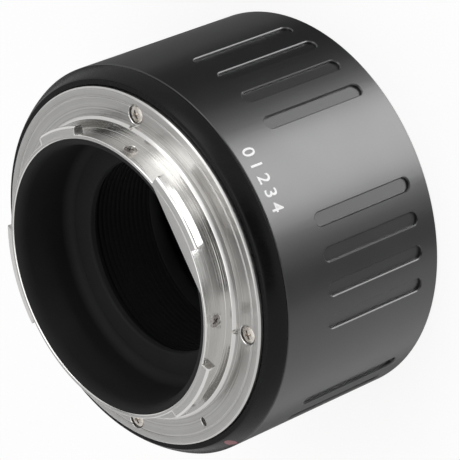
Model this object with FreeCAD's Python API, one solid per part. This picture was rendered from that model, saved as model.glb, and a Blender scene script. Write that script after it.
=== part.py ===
import FreeCAD, Part
import math
import os

from FreeCAD import Vector

# Rear mount tube of a cinema lens, in millimetres.
# +Z is the optical axis, towards the camera. The origin is the centre of the
# lens-side end, on which the tube stands. Angles are about +Z, in degrees.
# A keyed inner tube carries the camera bayonet, and the grip sleeve turns on it
# to lock the lens.

# Camera bayonet: collar, lugs, register step and flange
collar_radius = 24.4
collar_wall = 0.7
collar_height = 5.44
collar_bevel = 0.15
lug_reach = 1.35
lug_thickness = 1.9
lug_bevel = 0.35
lug_arcs = ((31.5, 61.5), (107.5, 130.5), (180.0, 220.0), (312.0, 344.5))
pad_angle = 38.0
pad_thickness = 1.7
pad_height = 4.4
register_width = 1.9
register_height = 1.1
register_bevel = 0.45
flange_width = 4.7
flange_thickness = 1.9
flange_bevel = 0.3
flange_groove_edge = 1.7
flange_groove_width = 0.25
flange_groove_depth = 0.15
spigot_wall = 1.2
spigot_length = 1.0
lock_slot_angle = -49.8
lock_slot_edge = 2.2
lock_slot_length = 1.5
lock_slot_width = 1.0
lock_slot_depth = 1.3
nick_radius = 0.45

# Four screws through the flange
flange_screw_edge = 2.8
flange_screw_angles = (-87.1, -2.4, 87.1, 177.6)
flange_screw_head_radius = 1.5
flange_screw_head_height = 0.85
flange_screw_radius = 0.8
flange_screw_length = 6.2
flange_screw_spin = 30.0
flange_recess_depth = 0.9
flange_recess_gap = 0.15

shim_thickness = 0.2
shim_edge = 0.6

# Shoulder ring round the flange
flange_gap = 0.15
face_drop = 0.8
shoulder_width = 1.2
shoulder_slope = 1.55
shoulder_web = 1.55
shoulder_bulge = 0.22
shoulder_top_bevel = 0.25

# Red index dot in the shoulder ring
dot_radius = 1.0
dot_floor = 0.4
dot_angle = -47.5
dot_height = 1.42

# Grip sleeve
sleeve_length = 34.15
sleeve_wall = 2.45
sleeve_edge_rounding = 0.2
sleeve_top_bevel = 0.15
seam_gap = 0.10
lip_width = 1.0
lip_thickness = 0.9

# Grip slots milled in the sleeve
slot_groups = 6
slots_per_group = 4
slot_pitch_angle = 10.0
slot_group_angle = 12.3
slot_width = 2.3
slot_length = 21.3
slot_depth = 0.55
slot_low_end = 3.7

# Inner tube
boss_gap = 0.1
land_gap = 0.3
waist_depth = 1.6
tube_wall = 2.9
tube_bottom = 8.2
upper_land_height = 5.0
lower_land_height = 4.8
spigot_seat_spare = 0.15
ledge_depth = 3.15
ledge_thickness = 3.0

# Light traps inside the tube
lining_wall = 1.35
lining_drop = 0.15
lining_flare_height = 1.2
lining_rim_width = 0.3
stop_radius = 16.8
stop_thickness = 1.2
stop_edge_bevel = 0.3
liner_step = 0.8
liner_wall = 2.3
liner_length = 13.0
liner_flange_gap = 2.5
liner_flange_thickness = 1.5
rib_pitch = 1.0
rib_depth = 0.6
rib_steep_share = 0.1
rib_slant_share = 0.8
retaining_ring_gap = 0.7
retaining_ring_thickness = 2.0
retaining_notch_width = 2.4
retaining_notch_depth = 1.0

# Four radial screws that hold the throat lining in the collar
throat_screw_angles = (2.4, 80.4, 155.0, 255.0)
throat_screw_height = 3.35
throat_screw_head_radius = 1.1
throat_screw_head_height = 0.5
throat_screw_radius = 0.6
throat_screw_length = 1.9
throat_screw_spin = 35.0

# Lens seat, its screws and its locating pin
seat_thickness = 3.0
seat_edge = 1.4
seat_ledge = 2.5
seat_bore_bevel = 0.4
seat_screw_angles = (20.0, 110.0, 200.0, 290.0)
seat_screw_head_radius = 1.2
seat_screw_head_height = 0.7
seat_screw_radius = 0.7
seat_screw_length = 5.6
seat_screw_spin = 20.0
pin_radius = 0.9
pin_length = 4.0
pin_reach = 1.8
pin_edge = 2.3
pin_angle = 65.0
pin_bevel = 0.3

# Lug ring in the sleeve's lens-side end
lug_ring_inset = 0.5
lug_ring_thickness = 2.6
lug_ring_wall = 2.0
lock_lug_reach = 2.7
lock_lug_thickness = 2.2
lock_lug_count = 4
lock_lug_arc = 40.0
lock_lug_angle = 25.0
lock_screw_radius = 0.7
lock_screw_length = 2.4
lock_screw_angles = (45.0, 165.0, 285.0)
lock_screw_slot_width = 0.25
lock_screw_slot_depth = 0.5

# Bearings and seal between the inner tube and the sleeve
glide_groove_depth = 0.8
glide_ring_width = 2.4
glide_ring_slit = 0.5
glide_ring_slit_angle = 100.0
glide_edge = 0.6
seal_width = 1.0
seal_gap = 0.1
seal_wall = 0.35
washer_thickness = 0.4
washer_gap = 0.1

# Stop screw that limits the sleeve's turn
lock_turn = 45.0
stop_screw_angle = 140.0
stop_screw_height = 20.0
stop_screw_radius = 1.0
stop_screw_inset = 0.4
stop_screw_reach = 0.55
stop_screw_slot_width = 0.3
stop_screw_slot_depth = 0.6
stop_pocket_depth = 0.9
stop_pocket_side = 0.4
stop_pocket_spare_angle = 0.4

# Clearances and shares that several pieces use
running_gap = 0.05
assembly_gap = 0.05
screw_hole_gap = 0.1
crown_share = 0.3
cross_reach_share = 0.62
cross_arm_share = 0.24
cross_depth_share = 0.65
cut_over = 1.0

# Radii that follow, from the collar outwards to the sleeve
collar_bore_radius = collar_radius - collar_wall
lug_radius = collar_radius + lug_reach
register_radius = collar_radius + register_width
flange_radius = register_radius + flange_width
recess_radius = flange_radius + flange_gap
shoulder_top_radius = flange_radius + shoulder_width
sleeve_radius = shoulder_top_radius + shoulder_slope
sleeve_bore_radius = sleeve_radius - sleeve_wall
lip_bore_radius = sleeve_bore_radius - lip_width
boss_radius = lip_bore_radius - boss_gap
land_radius = sleeve_bore_radius - land_gap
waist_radius = land_radius - waist_depth
tube_bore_radius = waist_radius - tube_wall
glide_groove_radius = land_radius - glide_groove_depth
spigot_radius = collar_bore_radius + spigot_wall
spigot_seat_radius = spigot_radius + assembly_gap
flange_groove_radius = flange_radius - flange_groove_edge
flange_screw_circle = flange_radius - flange_screw_edge
flange_recess_radius = flange_screw_head_radius + flange_recess_gap
lock_slot_outer = flange_radius - lock_slot_edge
lock_slot_inner = lock_slot_outer - lock_slot_length

# Radii that follow, inside the tube and at the lens seat
pad_distance = collar_bore_radius - pad_thickness
lining_radius = collar_bore_radius - assembly_gap
lining_bore_radius = lining_radius - lining_wall
liner_bore_radius = stop_radius + liner_step
liner_radius = liner_bore_radius + liner_wall
liner_flange_radius = tube_bore_radius - liner_flange_gap
retaining_ring_bore_radius = liner_radius + retaining_ring_gap
retaining_ring_radius = tube_bore_radius - assembly_gap
seat_radius = land_radius - seat_edge
seat_bore_radius = tube_bore_radius - seat_ledge
seat_screw_circle = (tube_bore_radius + seat_radius) / 2
pin_circle = seat_bore_radius + pin_edge
lug_ring_bore_radius = sleeve_bore_radius - lug_ring_wall
lock_lug_bore_radius = lug_ring_bore_radius - lock_lug_reach

# Heights that follow
shoulder_bottom = sleeve_length + seam_gap
shim_bottom = shoulder_bottom + shoulder_web
flange_bottom = shim_bottom + shim_thickness
flange_face = flange_bottom + flange_thickness
flange_screw_top = flange_face - flange_recess_depth + flange_screw_head_height
flange_screw_tip = flange_screw_top - flange_screw_length
collar_rim = flange_face + collar_height
pad_bottom = collar_rim - pad_height
shoulder_top = flange_face - face_drop
dot_centre = shoulder_bottom + dot_height
spigot_bottom = shoulder_bottom - spigot_length
spigot_seat = spigot_bottom - spigot_seat_spare
washer_room = washer_thickness + running_gap
lip_top = shoulder_bottom - washer_room
lip_bottom = lip_top - lip_thickness
land_top = lip_bottom - washer_room
ledge_top = shoulder_bottom - ledge_depth
ledge_bottom = ledge_top - ledge_thickness
stop_top = ledge_top + stop_thickness
liner_flange_bottom = ledge_bottom - liner_flange_thickness
throat_screw_centre = flange_face + throat_screw_height
waist_bottom = tube_bottom + lower_land_height
upper_glide_bottom = land_top - glide_edge - glide_ring_width
lower_glide_bottom = waist_bottom - glide_edge - glide_ring_width
seal_bottom = lower_glide_bottom - seal_wall - seal_width
seat_face = tube_bottom - seat_thickness
pin_bottom = seat_face - pin_reach
lock_screw_top = lug_ring_inset + lock_screw_length

ORIGIN = Vector(0, 0, 0)
UP = Vector(0, 0, 1)
OUT = Vector(1, 0, 0)
SIDE = Vector(0, 1, 0)


def turned(shape, angle):
    """A copy of a shape turned about the optical axis."""
    copy = shape.copy()
    copy.rotate(ORIGIN, UP, angle)
    return copy


def lathe(outline, arc=360.0, start=0.0):
    """Turn an outline of (radius, height) corners about the optical axis.

    A corner with four numbers is an arc: its middle point, then its end.
    """
    edges = []
    first = Vector(outline[0][0], 0, outline[0][1])
    here = first
    for corner in outline[1:]:
        end = Vector(corner[-2], 0, corner[-1])
        if len(corner) == 4:
            middle = Vector(corner[0], 0, corner[1])
            edges.append(Part.Arc(here, middle, end).toShape())
        else:
            edges.append(Part.LineSegment(here, end).toShape())
        here = end
    edges.append(Part.LineSegment(here, first).toShape())
    face = Part.Face(Part.Wire(edges))
    return turned(face.revolve(ORIGIN, UP, arc), start)


def ring(inner, outer, low, high):
    """A plain turned ring between two radii and two heights."""
    return lathe([(inner, low), (outer, low), (outer, high), (inner, high)])


def disc(radius, low, high):
    """A plain turned disc."""
    return Part.makeCylinder(radius, high - low, Vector(0, 0, low), UP)


def post(radius, circle, angle, low, high):
    """A cylinder parallel to the optical axis, at a radius and angle."""
    return turned(Part.makeCylinder(radius, high - low, Vector(circle, 0, low), UP), angle)


def spoke(radius, inner, outer, angle, height):
    """A cylinder that points outwards from the optical axis."""
    return turned(Part.makeCylinder(radius, outer - inner, Vector(inner, 0, height), OUT), angle)


def cut_all(body, cutters):
    """Cut a list of shapes from a body."""
    for cutter in cutters:
        body = body.cut(cutter)
    return body


def cross_head_screw(head_radius, head_height, shank_radius, length):
    """A crowned cross-head screw: head top at the origin, shank towards -Z."""
    crown = head_height * crown_share
    shape = lathe([
        (0, -length),
        (shank_radius, -length),
        (shank_radius, -head_height),
        (head_radius, -head_height),
        (head_radius, -crown),
        (head_radius / 2, -crown / 4, 0, 0)])
    reach = head_radius * cross_reach_share
    arm = head_radius * cross_arm_share
    depth = head_height * cross_depth_share
    for angle in (0, 90):
        slot = Part.makeBox(2 * reach, arm, 2 * depth, Vector(-reach, -arm / 2, -depth))
        shape = shape.cut(turned(slot, angle))
    return shape


def placed_screw(screw, circle, angle, height, tilt, spin):
    """Spin a screw about itself, tilt it about Y, and set it at its place."""
    copy = turned(screw, spin)
    copy.rotate(ORIGIN, SIDE, tilt)
    copy.translate(Vector(circle, 0, height))
    return turned(copy, angle)


def flange_screw_holes(radius, low, high):
    """One hole for each flange screw."""
    return [post(radius, flange_screw_circle, angle, low, high)
            for angle in flange_screw_angles]


def seat_screw_holes(radius, low, high):
    """One hole for each seat screw."""
    return [post(radius, seat_screw_circle, angle, low, high)
            for angle in seat_screw_angles]


def lock_screw_holes(low):
    """Holes on the joint between the sleeve and its lug ring."""
    return [post(lock_screw_radius, sleeve_bore_radius, angle, low, lock_screw_top)
            for angle in lock_screw_angles]


def throat_screw_holes():
    """Radial holes through the collar and its lining, with seats for the heads."""
    head_floor = collar_radius - throat_screw_head_height
    holes = []
    for angle in throat_screw_angles:
        holes.append(spoke(throat_screw_radius, lining_bore_radius - cut_over,
                           collar_radius + cut_over, angle, throat_screw_centre))
        holes.append(spoke(throat_screw_head_radius, head_floor,
                           collar_radius + cut_over, angle, throat_screw_centre))
    return holes


def pad_block(distance, bottom):
    """The space beyond a chord of the collar's bore."""
    width = 2 * collar_bore_radius
    depth = collar_radius - distance + cut_over
    height = collar_rim - bottom + cut_over
    block = Part.makeBox(depth, width, height, Vector(distance, -width / 2, bottom))
    return turned(block, pad_angle)


def lock_pin_slot():
    """Short radial slot that the camera's locking pin drops into."""
    half = lock_slot_width / 2
    low = flange_face - lock_slot_depth
    high = flange_face + cut_over
    middle = Part.makeBox(lock_slot_length - lock_slot_width, lock_slot_width, high - low,
                          Vector(lock_slot_inner + half, -half, low))
    slot = turned(middle, lock_slot_angle)
    for circle in (lock_slot_inner + half, lock_slot_outer - half):
        slot = slot.fuse(post(half, circle, lock_slot_angle, low, high))
    return slot


def make_bayonet_mount():
    """Chromed flange with its register step, collar, lugs and flat inner pad."""
    register_top = flange_face + register_height
    body = lathe([
        (0, spigot_bottom),
        (spigot_radius, spigot_bottom),
        (spigot_radius, flange_bottom),
        (flange_radius, flange_bottom),
        (flange_radius, flange_face - flange_bevel),
        (flange_radius - flange_bevel, flange_face),
        (register_radius, flange_face),
        (register_radius, register_top - register_bevel),
        (register_radius - register_bevel, register_top),
        (collar_radius, register_top),
        (collar_radius, collar_rim - collar_bevel),
        (collar_radius - collar_bevel, collar_rim),
        (0, collar_rim)])
    lug = [
        (collar_bore_radius, collar_rim - lug_thickness),
        (lug_radius, collar_rim - lug_thickness),
        (lug_radius, collar_rim - lug_bevel),
        (lug_radius - lug_bevel, collar_rim),
        (collar_bore_radius, collar_rim)]
    for start, end in lug_arcs:
        body = body.fuse(lathe(lug, end - start, start))
    body = body.removeSplitter()

    pad = pad_block(pad_distance, pad_bottom)
    bore = disc(collar_bore_radius, spigot_bottom - cut_over, collar_rim + cut_over)
    bore_bevel = lathe([
        (collar_bore_radius - cut_over, collar_rim - cut_over),
        (collar_bore_radius + collar_bevel, collar_rim),
        (collar_bore_radius + collar_bevel, collar_rim + cut_over),
        (collar_bore_radius - cut_over, collar_rim + cut_over)])
    groove = ring(flange_groove_radius, flange_groove_radius + flange_groove_width,
                  flange_face - flange_groove_depth, flange_face + cut_over)
    nicks = [post(nick_radius, register_radius, angle, flange_face, register_top + cut_over)
             for angle in flange_screw_angles]
    shank_holes = flange_screw_holes(flange_screw_radius + screw_hole_gap,
                                     flange_bottom - cut_over, flange_face)
    head_recesses = flange_screw_holes(flange_recess_radius,
                                       flange_face - flange_recess_depth, flange_face + cut_over)
    body = cut_all(body, [bore.cut(pad), bore_bevel.cut(pad), groove, lock_pin_slot()])
    return cut_all(body, nicks + shank_holes + head_recesses + throat_screw_holes())


def make_flange_screws():
    """Cross-head screws that hold the flange, shim and shoulder to the tube."""
    screw = cross_head_screw(flange_screw_head_radius, flange_screw_head_height,
                             flange_screw_radius, flange_screw_length)
    return [placed_screw(screw, flange_screw_circle, angle, flange_screw_top, 0, flange_screw_spin)
            for angle in flange_screw_angles]


def make_flange_shim():
    """Thin ring that sets the distance from the flange to the image."""
    body = ring(spigot_seat_radius, flange_radius - shim_edge, shim_bottom, flange_bottom)
    return cut_all(body, flange_screw_holes(flange_screw_radius + screw_hole_gap,
                                            shim_bottom - cut_over, flange_bottom + cut_over))


def shoulder_blank(inner):
    """The shoulder ring before its recess and holes, closed at an inner radius."""
    bulge_radius = (sleeve_radius + shoulder_top_radius) / 2 + shoulder_bulge
    bulge_height = (shoulder_bottom + shoulder_top) / 2
    return lathe([
        (inner, shoulder_bottom),
        (sleeve_radius - sleeve_top_bevel, shoulder_bottom),
        (sleeve_radius, shoulder_bottom + sleeve_top_bevel),
        (bulge_radius, bulge_height, shoulder_top_radius, shoulder_top - shoulder_top_bevel),
        (shoulder_top_radius - shoulder_top_bevel, shoulder_top),
        (inner, shoulder_top)])


def index_dot_hole():
    """The blind hole that holds the index dot."""
    return spoke(dot_radius, recess_radius + dot_floor, sleeve_radius + cut_over, dot_angle, dot_centre)


def make_shoulder_ring():
    """Anodised ring clamped under the flange, with a recess for it."""
    recess = disc(recess_radius, shim_bottom, shoulder_top + cut_over)
    holes = flange_screw_holes(flange_screw_radius + screw_hole_gap,
                               shoulder_bottom - cut_over, shim_bottom + cut_over)
    return cut_all(shoulder_blank(spigot_seat_radius), [recess, index_dot_hole()] + holes)


def make_index_dot():
    """Red plug whose outer end follows the shoulder."""
    return index_dot_hole().common(shoulder_blank(0))


def glide_groove(low, width):
    """Cutter for a groove in one of the tube's lands."""
    return ring(glide_groove_radius, land_radius + cut_over, low - running_gap, low + width + running_gap)


def make_inner_tube():
    """Keyed tube that carries everything: boss, lands, waist and inner ledge."""
    ledge_bore_radius = liner_radius + assembly_gap
    body = lathe([
        (tube_bore_radius, tube_bottom),
        (land_radius, tube_bottom),
        (land_radius, waist_bottom),
        (waist_radius, waist_bottom),
        (waist_radius, land_top - upper_land_height),
        (land_radius, land_top - upper_land_height),
        (land_radius, land_top),
        (boss_radius, land_top),
        (boss_radius, shoulder_bottom),
        (spigot_seat_radius, shoulder_bottom),
        (spigot_seat_radius, spigot_seat),
        (collar_bore_radius, spigot_seat),
        (collar_bore_radius, ledge_top),
        (ledge_bore_radius, ledge_top),
        (ledge_bore_radius, ledge_bottom),
        (tube_bore_radius, ledge_bottom)])
    grooves = [
        glide_groove(lower_glide_bottom, glide_ring_width),
        glide_groove(upper_glide_bottom, glide_ring_width),
        glide_groove(seal_bottom, seal_width)]
    tapped_top = flange_screw_holes(flange_screw_radius, flange_screw_tip - screw_hole_gap,
                                    shoulder_bottom + cut_over)
    tapped_bottom = seat_screw_holes(seat_screw_radius, tube_bottom - cut_over,
                                     seat_face + seat_screw_length + screw_hole_gap)
    stop_hole = spoke(stop_screw_radius, tube_bore_radius - cut_over, land_radius,
                      stop_screw_angle, stop_screw_height)
    return cut_all(body, grooves + tapped_top + tapped_bottom + [stop_hole])


def make_throat_baffle():
    """Matt black lining of the collar, flared at its rim."""
    top = collar_rim - lining_drop
    body = lathe([
        (lining_bore_radius, stop_top),
        (lining_radius, stop_top),
        (lining_radius, top),
        (lining_radius - lining_rim_width, top),
        (lining_bore_radius, top - lining_flare_height)])
    notch = pad_block(pad_distance - assembly_gap, pad_bottom - assembly_gap)
    return cut_all(body, [notch] + throat_screw_holes())


def make_throat_screws():
    """Small cross-head screws set into the collar's outer wall."""
    screw = cross_head_screw(throat_screw_head_radius, throat_screw_head_height,
                             throat_screw_radius, throat_screw_length)
    return [placed_screw(screw, collar_radius, angle, throat_screw_centre, 90, throat_screw_spin)
            for angle in throat_screw_angles]


def make_stop_baffle():
    """Flat plate whose hole trims the light cone."""
    return lathe([
        (stop_radius, ledge_top),
        (lining_radius, ledge_top),
        (lining_radius, stop_top),
        (stop_radius + stop_edge_bevel, stop_top),
        (stop_radius, stop_top - stop_edge_bevel)])


def make_ribbed_liner():
    """Tube with saw-tooth ribs in its bore that swallow stray light."""
    bottom = ledge_top - liner_length
    outline = [
        (liner_bore_radius, ledge_top),
        (liner_radius, ledge_top),
        (liner_radius, ledge_bottom),
        (liner_flange_radius, ledge_bottom),
        (liner_flange_radius, liner_flange_bottom),
        (liner_radius, liner_flange_bottom),
        (liner_radius, bottom),
        (liner_bore_radius, bottom)]
    rib_count = int(liner_length / rib_pitch) - 1
    first = bottom + (liner_length - rib_count * rib_pitch) / 2
    for rib in range(rib_count):
        low = first + rib * rib_pitch
        steep = low + rib_pitch * rib_steep_share
        outline.append((liner_bore_radius, low))
        outline.append((liner_bore_radius + rib_depth, steep))
        outline.append((liner_bore_radius, steep + rib_pitch * rib_slant_share))
    return lathe(outline)


def make_liner_retaining_ring():
    """Threaded ring, notched for a spanner, that holds the liner to the ledge."""
    low = liner_flange_bottom - retaining_ring_thickness
    body = ring(retaining_ring_bore_radius, retaining_ring_radius, low, liner_flange_bottom)
    notch = Part.makeBox(2 * tube_bore_radius, retaining_notch_width, 2 * retaining_notch_depth,
                         Vector(-tube_bore_radius, -retaining_notch_width / 2, low - retaining_notch_depth))
    return body.cut(notch)


def make_lens_seat_ring():
    """Steel ring with the face and the bore that centre the lens."""
    body = lathe([
        (seat_bore_radius + seat_bore_bevel, seat_face),
        (seat_radius, seat_face),
        (seat_radius, tube_bottom),
        (seat_bore_radius, tube_bottom),
        (seat_bore_radius, seat_face + seat_bore_bevel)])
    pin_hole = post(pin_radius, pin_circle, pin_angle, seat_face - cut_over, pin_bottom + pin_length)
    shank_holes = seat_screw_holes(seat_screw_radius + screw_hole_gap, seat_face, tube_bottom + cut_over)
    head_recesses = seat_screw_holes(seat_screw_head_radius + screw_hole_gap, seat_face - cut_over,
                                     seat_face + seat_screw_head_height)
    return cut_all(body, [pin_hole] + shank_holes + head_recesses)


def make_seat_screws():
    """Cross-head screws that hold the seat ring under the tube."""
    screw = cross_head_screw(seat_screw_head_radius, seat_screw_head_height,
                             seat_screw_radius, seat_screw_length)
    return [placed_screw(screw, seat_screw_circle, angle, seat_face, 180, seat_screw_spin)
            for angle in seat_screw_angles]


def make_locating_pin():
    """Dowel that keeps the lens from turning on its seat."""
    pin = lathe([
        (0, pin_bottom),
        (pin_radius - pin_bevel, pin_bottom),
        (pin_radius, pin_bottom + pin_bevel),
        (pin_radius, pin_bottom + pin_length),
        (0, pin_bottom + pin_length)])
    pin.translate(Vector(pin_circle, 0, 0))
    return turned(pin, pin_angle)


def make_glide_ring(low):
    """Slit bearing ring on which the sleeve turns."""
    outer = sleeve_bore_radius - running_gap
    body = ring(glide_groove_radius, outer, low, low + glide_ring_width)
    slit = Part.makeBox(outer, glide_ring_slit, glide_ring_width + 2 * cut_over,
                        Vector(glide_groove_radius - cut_over, -glide_ring_slit / 2, low - cut_over))
    return body.cut(turned(slit, glide_ring_slit_angle))


def make_thrust_washers():
    """The two washers, below and above the sleeve's lip."""
    inner = lip_bore_radius + washer_gap
    outer = sleeve_bore_radius - washer_gap
    return [ring(inner, outer, low, low + washer_thickness)
            for low in (land_top, shoulder_bottom - washer_thickness)]


def make_dust_seal():
    """Felt ring that keeps dust out of the bearing."""
    return ring(glide_groove_radius, sleeve_bore_radius - seal_gap, seal_bottom, seal_bottom + seal_width)


def make_stop_screw():
    """Screw in the tube whose tip runs in the sleeve's stop pocket."""
    inner = tube_bore_radius + stop_screw_inset
    outer = sleeve_bore_radius + stop_screw_reach
    body = spoke(stop_screw_radius, inner, outer, stop_screw_angle, stop_screw_height)
    slot = Part.makeBox(2 * stop_screw_slot_depth, stop_screw_slot_width, 2 * stop_screw_radius,
                        Vector(inner - stop_screw_slot_depth, -stop_screw_slot_width / 2,
                               stop_screw_height - stop_screw_radius))
    return body.cut(turned(slot, stop_screw_angle))


def grip_slot():
    """Cutter for one round-ended grip slot, at angle zero."""
    half = slot_width / 2
    floor = sleeve_radius - slot_depth
    reach = slot_depth + cut_over
    low = slot_low_end + half
    high = slot_low_end + slot_length - half
    slot = Part.makeBox(reach, slot_width, high - low, Vector(floor, -half, low))
    for height in (low, high):
        slot = slot.fuse(Part.makeCylinder(half, reach, Vector(floor, 0, height), OUT))
    return slot


def stop_pocket():
    """Cutter for the inner pocket in which the stop screw runs."""
    low = stop_screw_height - stop_screw_radius - stop_pocket_side
    high = stop_screw_height + stop_screw_radius + stop_pocket_side
    inner = sleeve_bore_radius - cut_over / 2
    outer = sleeve_bore_radius + stop_pocket_depth
    half_arc = math.degrees(stop_screw_radius / sleeve_bore_radius) + stop_pocket_spare_angle
    return lathe([(inner, low), (outer, low), (outer, high), (inner, high)],
                 lock_turn + 2 * half_arc, stop_screw_angle - half_arc)


def make_grip_sleeve():
    """Anodised sleeve with grouped grip slots and an inner lip at its top."""
    rounding = sleeve_edge_rounding
    arc_rise = rounding * (1 - math.cos(math.radians(45)))
    body = lathe([
        (sleeve_bore_radius, 0),
        (sleeve_radius - rounding, 0),
        (sleeve_radius - arc_rise, arc_rise, sleeve_radius, rounding),
        (sleeve_radius, sleeve_length - sleeve_top_bevel),
        (sleeve_radius - sleeve_top_bevel, sleeve_length),
        (sleeve_bore_radius, sleeve_length),
        (sleeve_bore_radius, lip_top),
        (lip_bore_radius, lip_top),
        (lip_bore_radius, lip_bottom),
        (sleeve_bore_radius, lip_bottom)])
    slot = grip_slot()
    first = slot_group_angle - slot_pitch_angle * (slots_per_group - 1) / 2
    slots = [turned(slot, first + group * 360 / slot_groups + place * slot_pitch_angle)
             for group in range(slot_groups)
             for place in range(slots_per_group)]
    return cut_all(body, slots + [stop_pocket()] + lock_screw_holes(-cut_over))


def make_lug_ring():
    """Steel ring whose inner lugs pull the lens's wings against the seat."""
    low = lug_ring_inset
    body = ring(lug_ring_bore_radius, sleeve_bore_radius, low, low + lug_ring_thickness)
    root = (lug_ring_bore_radius + sleeve_bore_radius) / 2
    lug = [(lock_lug_bore_radius, low), (root, low),
           (root, low + lock_lug_thickness), (lock_lug_bore_radius, low + lock_lug_thickness)]
    for place in range(lock_lug_count):
        body = body.fuse(lathe(lug, lock_lug_arc, lock_lug_angle + place * 360 / lock_lug_count))
    return cut_all(body.removeSplitter(), lock_screw_holes(-cut_over))


def make_lug_ring_lock_screws():
    """Headless screws that keep the lug ring from unscrewing."""
    slot = Part.makeBox(2 * lock_screw_radius, lock_screw_slot_width, 2 * lock_screw_slot_depth,
                        Vector(sleeve_bore_radius - lock_screw_radius, -lock_screw_slot_width / 2,
                               lug_ring_inset - lock_screw_slot_depth))
    screws = lock_screw_holes(lug_ring_inset)
    return [screw.cut(turned(slot, angle)) for screw, angle in zip(screws, lock_screw_angles)]


def save(name, shapes):
    """Write one node, with one or more separate solids."""
    solids = [solid for shape in shapes for solid in shape.Solids]
    node = solids[0] if len(solids) == 1 else Part.makeCompound(solids)
    node.exportStep(os.path.join("parts", name + ".step"))


def main():
    os.makedirs("parts", exist_ok=True)

    # Pieces that stay with the camera
    save("bayonet_mount", [make_bayonet_mount()])
    save("flange_screws", make_flange_screws())
    save("flange_shim", [make_flange_shim()])
    save("shoulder_ring", [make_shoulder_ring()])
    save("index_dot", [make_index_dot()])
    save("inner_tube", [make_inner_tube()])
    save("throat_baffle", [make_throat_baffle()])
    save("throat_screws", make_throat_screws())
    save("stop_baffle", [make_stop_baffle()])
    save("ribbed_liner", [make_ribbed_liner()])
    save("liner_retaining_ring", [make_liner_retaining_ring()])
    save("lens_seat_ring", [make_lens_seat_ring()])
    save("seat_screws", make_seat_screws())
    save("locating_pin", [make_locating_pin()])
    save("lower_glide_ring", [make_glide_ring(lower_glide_bottom)])
    save("upper_glide_ring", [make_glide_ring(upper_glide_bottom)])
    save("thrust_washers", make_thrust_washers())
    save("dust_seal", [make_dust_seal()])
    save("stop_screw", [make_stop_screw()])

    # Pieces that turn with the sleeve
    save("grip_sleeve", [make_grip_sleeve()])
    save("lug_ring", [make_lug_ring()])
    save("lug_ring_lock_screws", make_lug_ring_lock_screws())


main()
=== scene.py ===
import math

import bpy
from mathutils import Matrix, Vector


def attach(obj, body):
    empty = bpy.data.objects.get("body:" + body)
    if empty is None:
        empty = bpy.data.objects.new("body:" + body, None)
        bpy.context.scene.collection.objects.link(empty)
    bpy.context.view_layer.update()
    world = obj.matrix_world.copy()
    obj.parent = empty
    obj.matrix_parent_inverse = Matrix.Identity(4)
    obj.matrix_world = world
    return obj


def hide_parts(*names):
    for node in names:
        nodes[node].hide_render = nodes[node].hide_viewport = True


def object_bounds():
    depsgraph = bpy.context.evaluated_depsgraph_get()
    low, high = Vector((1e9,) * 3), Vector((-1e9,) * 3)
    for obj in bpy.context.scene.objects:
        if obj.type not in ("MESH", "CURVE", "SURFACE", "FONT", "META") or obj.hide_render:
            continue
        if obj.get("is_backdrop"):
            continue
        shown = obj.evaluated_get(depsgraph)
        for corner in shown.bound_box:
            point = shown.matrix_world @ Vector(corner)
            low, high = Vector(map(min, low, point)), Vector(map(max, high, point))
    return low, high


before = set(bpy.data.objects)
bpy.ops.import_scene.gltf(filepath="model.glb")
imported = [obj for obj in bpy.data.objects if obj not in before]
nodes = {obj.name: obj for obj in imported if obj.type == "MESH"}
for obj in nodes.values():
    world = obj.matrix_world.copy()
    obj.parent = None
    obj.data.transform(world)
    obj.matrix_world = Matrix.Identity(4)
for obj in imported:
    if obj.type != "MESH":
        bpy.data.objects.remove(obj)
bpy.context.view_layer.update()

# The rear mount tube of a cinema lens, built from the inside outwards. Sizes are
# in millimetres, heights from the lens-side end, and MM brings them to metres.


# Keyed inner tube and the ring that holds its light trap: turned from aluminium
# bar, bead-blasted and anodised black. They show only from the lens side.
# Anodising over the blasted surface leaves a dry dark sheen with an even grain.
MM = 0.001


def linear_colour(sheet_hex):
    """An sRGB hex value as the linear colour that a shader takes."""
    channels = [int(sheet_hex[place:place + 2], 16) / 255 for place in (1, 3, 5)]
    return [c / 12.92 if c <= 0.04045 else ((c + 0.055) / 1.055) ** 2.4 for c in channels] + [1]


def new_material(name):
    """An empty node material."""
    material = bpy.data.materials.new(name)
    material.use_nodes = True
    material.node_tree.nodes.clear()
    return material


def add_node(material, kind, inputs, **settings):
    """Add a node, set its options, and set or link its inputs by name or number.

    A colour Mix node takes its two colours on inputs 6 and 7 and gives output 2.
    """
    node = material.node_tree.nodes.new(kind)
    for option, value in settings.items():
        setattr(node, option, value)
    for socket, value in inputs.items():
        if isinstance(value, bpy.types.NodeSocket):
            material.node_tree.links.new(value, node.inputs[socket])
        else:
            node.inputs[socket].default_value = value
    return node


def coat(piece, material):
    """Give every material slot of a piece one material."""
    if not piece.material_slots:
        piece.data.materials.append(material)
    for slot in piece.material_slots:
        slot.material = material


inner_anodise = new_material("blasted_black_anodised_aluminium")
place = add_node(inner_anodise, "ShaderNodeTexCoord", {})
blast = add_node(inner_anodise, "ShaderNodeTexNoise", {
    "Vector": place.outputs["Object"], "Scale": 1 / (0.25 * MM), "Detail": 2})
tone = add_node(inner_anodise, "ShaderNodeMix", {
    0: blast.outputs["Fac"], 6: linear_colour("#1c1c1e"), 7: linear_colour("#26262a")}, data_type="RGBA")
grain = add_node(inner_anodise, "ShaderNodeBump", {
    "Strength": 0.25, "Distance": 0.01 * MM, "Height": blast.outputs["Fac"]})
finish = add_node(inner_anodise, "ShaderNodeBsdfPrincipled", {
    "Base Color": tone.outputs[2], "Roughness": 0.5, "Normal": grain.outputs["Normal"]})
add_node(inner_anodise, "ShaderNodeOutputMaterial", {"Surface": finish.outputs["BSDF"]})
coat(nodes["inner_tube"], inner_anodise)
coat(nodes["liner_retaining_ring"], inner_anodise)


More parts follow.
